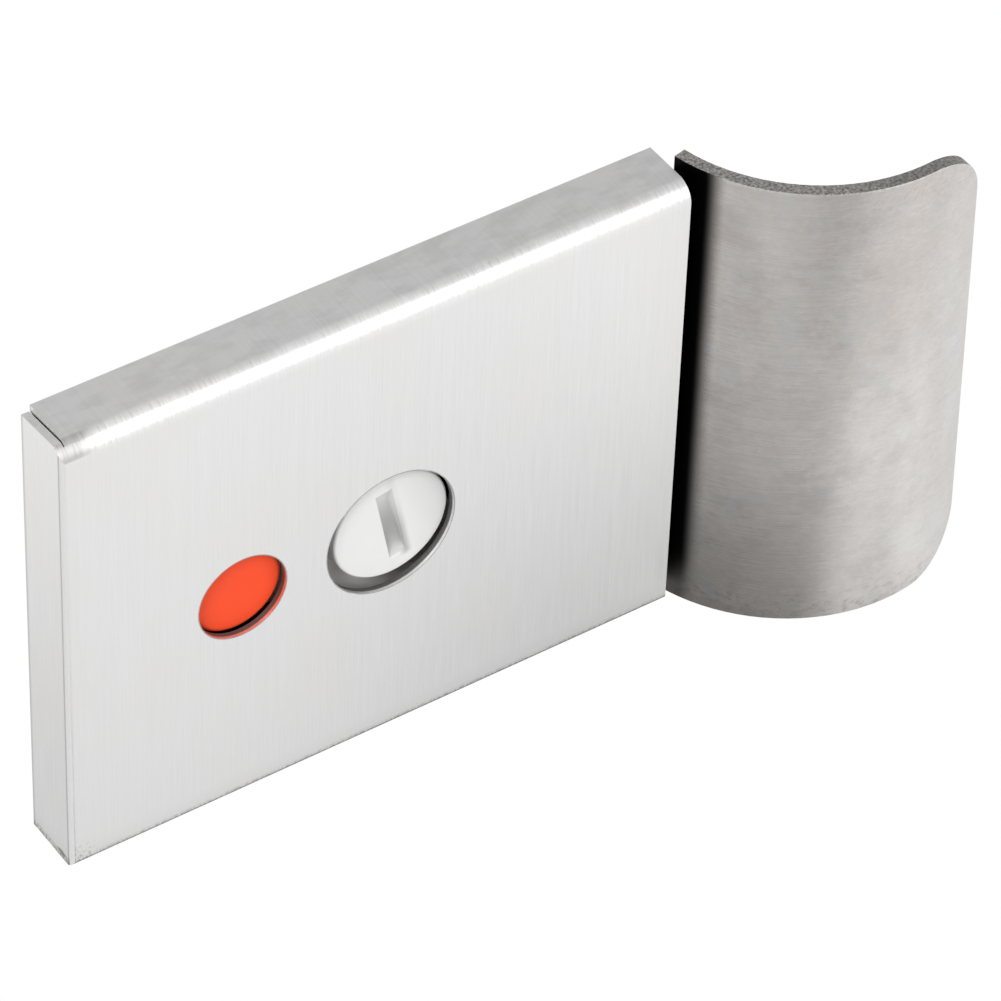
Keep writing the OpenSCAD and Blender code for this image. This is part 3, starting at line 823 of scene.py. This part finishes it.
class BOLT_OT_keepers(bpy.types.Operator):
    """Makes the toothed keepers that hold the pads' stems"""
    bl_idname = "bolt.keepers"
    bl_label = "Keepers"

    def execute(self, context):
        look = context.scene.bolt_hardware
        tree = keeper_tree()
        steel = mill_metal("keeper_steel", (0.40, 0.41, 0.43), 0.30)
        for shade in ("red", "green"):
            node = shade + "_keeper"
            low, high = (Vector(corner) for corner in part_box(node))
            outer = (high.x - low.x) / 2
            inner = look.stem_radius * MM
            root = inner + (outer - inner) * KEEPER_ROOT
            sizes = {"Outer radius": outer, "Root radius": root, "Inner radius": inner,
                     "Thickness": high.y - low.y, "Teeth": look.teeth, "Tooth width": look.tooth_width * MM,
                     "Centre": (low + high) / 2}
            dress(grown(shade + "_push_on", tree, sizes, steel), node, ROTOR, steel)
        return {"FINISHED"}


class BOLT_OT_threads(bpy.types.Operator):
    """Makes the threads in the fixing pillars"""
    bl_idname = "bolt.threads"
    bl_label = "Threads"

    def execute(self, context):
        look = context.scene.bolt_hardware
        tree = thread_tree()
        steel = mill_metal("tapped_steel", (0.50, 0.50, 0.50), 0.28)
        turns = look.tapped_depth / look.pitch - 1.0
        for side in ("left", "right"):
            low, high = (Vector(corner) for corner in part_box(side + "_pillar"))
            mouth = Vector(((low.x + high.x) / 2, high.y - look.pitch * MM, (low.z + high.z) / 2))
            sizes = {"Radius": look.tapped_radius * MM, "Pitch": look.pitch * MM, "Turns": turns,
                     "Ridge": look.pitch * MM * RIDGE_SHARE, "Centre": mouth}
            piece = grown(side + "_thread", tree, sizes, steel)
            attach(piece, UNIT)
        return {"FINISHED"}


class BOLT_OT_stage(bpy.types.Operator):
    """Makes the floor, the light and the camera"""
    bl_idname = "bolt.stage"
    bl_label = "Stage"

    def execute(self, context):
        look = context.scene.bolt_stage
        self.make_floor(look)
        self.make_sky(context, look)
        self.make_lamps(look)
        self.make_camera(context, look)
        context.scene.view_settings.view_transform = "Standard"
        return {"FINISHED"}

    def make_floor(self, look):
        half = look.floor_size / 2
        level = CAD_BOX[0][2] - look.floor_drop
        mesh = bpy.data.meshes.new("floor")
        corners = [(-half, -half, level), (half, -half, level), (half, half, level), (-half, half, level)]
        mesh.from_pydata(corners, [], [(0, 1, 2, 3)])
        floor = new_piece("floor", mesh)
        material, f = new_finish("pale_floor")
        straight, shown = self.shown_ray(f)
        # The floor glows: white where it is seen straight, and in a painted pattern of light and shade where a
        # gloss sees it.
        tint = f.blend((straight + self.floor_tone(f, look)).at_most(1.0), BLACK, WHITE)
        paper = f.node("ShaderNodeBsdfDiffuse", None, {"Color": (0.8, 0.8, 0.8)})
        white = f.node("ShaderNodeEmission", None, {"Color": tint, "Strength": 1.0})
        f.node_out(f.node("ShaderNodeMixShader", None, {0: shown, 1: paper, 2: white}))
        mesh.materials.append(material)

    def floor_tone(self, f, look):
        """Painted light and shade on the glowing floor, as a gloss shows it: bright ahead on the right, a
        painted shadow close by and dim on the left.
        """
        x, y = f.place()[:2]
        reach = f.node("ShaderNodeVectorMath", {"operation": "LENGTH"}, {0: f.point(x, y, 0.0)}, "Value")
        ahead = (abs(y) - x * 0.6).ramp(80.0, 180.0, look.near_floor, 1.0)
        ahead = ahead + (1.0 - ahead) * x.ramp(205.0, 290.0)
        left = reach.ramp(205.0, 330.0, 0.3, look.left_floor)
        slant = x + y * 0.4
        sideways = left + (1.0 - left) * slant.ramp(-105.0, -25.0)
        far = y.ramp(-235.0, -300.0, 0.0, 0.36) * slant.ramp(-60.0, 0.0) + 1.0
        ends = y.ramp(-325.0, -385.0, 1.0, 0.84) * x.ramp(280.0, 350.0, 1.0, 0.84)
        front = ahead * sideways * far * ends
        behind = reach.ramp(280.0, 400.0, 0.58, 0.88)
        return front + (behind - front) * y.ramp(-40.0, 40.0)

    def shown_ray(self, f):
        """One where the background is seen straight, and one where it is seen in any way."""
        path = f.tree.nodes.new("ShaderNodeLightPath")
        rays = [Wire(f, path.outputs[name])
                for name in ("Is Camera Ray", "Is Glossy Ray", "Is Transmission Ray")]
        return rays[0], (rays[0] + rays[1] + rays[2]).at_most(1.0)

    def make_sky(self, context, look):
        world = bpy.data.worlds.new("soft_sky")
        context.scene.world = world
        world.use_nodes = True
        f = Finish(world.node_tree)
        path = f.tree.nodes.new("ShaderNodeLightPath")
        direct = Wire(f, path.outputs["Is Camera Ray"])
        way = f.node("ShaderNodeTexCoord", output="Generated")
        height = f.node("ShaderNodeSeparateXYZ", None, {0: way}, 2)
        soft = height.ramp(-0.1, 0.9, look.sky * 1.15, look.sky * 0.85)
        tint = f.blend(soft + (1.0 - soft) * direct, BLACK, WHITE)
        glow = f.node("ShaderNodeBackground", None, {"Color": tint, "Strength": 1.0})
        out = f.tree.nodes.new("ShaderNodeOutputWorld")
        f.tree.links.new(glow.socket, out.inputs["Surface"])

    def make_lamps(self, look):
        """A broad lamp that the top bend reflects, and a smaller one from the upper left."""
        for name, place, width, height, power in (
                ("broad_lamp", (0.424, -0.76, 0.50), 0.80, 0.85, look.broad),
                ("left_lamp", (-0.62, -0.42, 0.70), 0.30, 0.30, look.key)):
            lamp = bpy.data.lights.new(name, "AREA")
            lamp.shape = "RECTANGLE"
            lamp.size = width
            lamp.size_y = height
            lamp.energy = power
            piece = new_piece(name, lamp)
            aim = (-Vector(place)).to_track_quat("-Z", "Y").to_matrix().to_4x4()
            piece.matrix_world = Matrix.Translation(place) @ aim

    def make_camera(self, context, look):
        """A camera with the photograph's direction, tilt and perspective."""
        data = bpy.data.cameras.new("photo_camera")
        data.sensor_width = SENSOR
        data.lens = look.focal_pixels * SENSOR / IMAGE_SIZE
        data.clip_end = 50.0
        ahead = Vector((math.sin(look.azimuth) * math.cos(look.elevation),
                        math.cos(look.azimuth) * math.cos(look.elevation), -math.sin(look.elevation)))
        right = ahead.cross(Vector((0, 0, 1))).normalized()
        up = right.cross(ahead)
        turned_right = math.cos(look.roll) * right + math.sin(look.roll) * up
        turned_up = math.cos(look.roll) * up - math.sin(look.roll) * right
        turn = Matrix((turned_right, turned_up, -ahead)).transposed()
        camera = new_piece("photo_camera", data)
        camera.matrix_world = Matrix.Translation(look.camera_place) @ turn.to_4x4()
        context.scene.camera = camera


class BOLT_PT_panel(bpy.types.Panel):
    """Lists the pieces and their settings"""
    bl_idname = "BOLT_PT_panel"
    bl_label = "Indicator bolt"
    bl_space_type = "VIEW_3D"
    bl_region_type = "UI"
    bl_category = "Indicator bolt"

    def draw(self, context):
        for operator in OPERATORS:
            self.layout.operator(operator.bl_idname)
        for name in LOOKS:
            look = getattr(context.scene, name)
            for key in look.bl_rna.properties.keys():
                if key not in ("rna_type", "name"):
                    self.layout.prop(look, key)


LOOKS = {
    "bolt_cover": CoverLook,
    "bolt_pull": PullLook,
    "bolt_release": ReleaseLook,
    "bolt_hardware": HardwareLook,
    "bolt_stage": StageLook,
}
OPERATORS = (BOLT_OT_stage, BOLT_OT_cover, BOLT_OT_pull, BOLT_OT_release, BOLT_OT_pads, BOLT_OT_keepers,
             BOLT_OT_threads, BOLT_OT_inner)


def register():
    for look in LOOKS.values():
        bpy.utils.register_class(look)
    for name, look in LOOKS.items():
        setattr(bpy.types.Scene, name, bpy.props.PointerProperty(type=look))
    for operator in OPERATORS:
        bpy.utils.register_class(operator)
    bpy.utils.register_class(BOLT_PT_panel)


def unregister():
    bpy.utils.unregister_class(BOLT_PT_panel)
    for operator in reversed(OPERATORS):
        bpy.utils.unregister_class(operator)
    for name, look in LOOKS.items():
        delattr(bpy.types.Scene, name)
        bpy.utils.unregister_class(look)


def main():
    register()
    bpy.ops.bolt.stage()
    bpy.ops.bolt.cover()
    bpy.ops.bolt.pull()
    bpy.ops.bolt.release()
    bpy.ops.bolt.pads()
    bpy.ops.bolt.keepers()
    bpy.ops.bolt.threads()
    bpy.ops.bolt.inner()


if __name__ == "__main__":
    main()
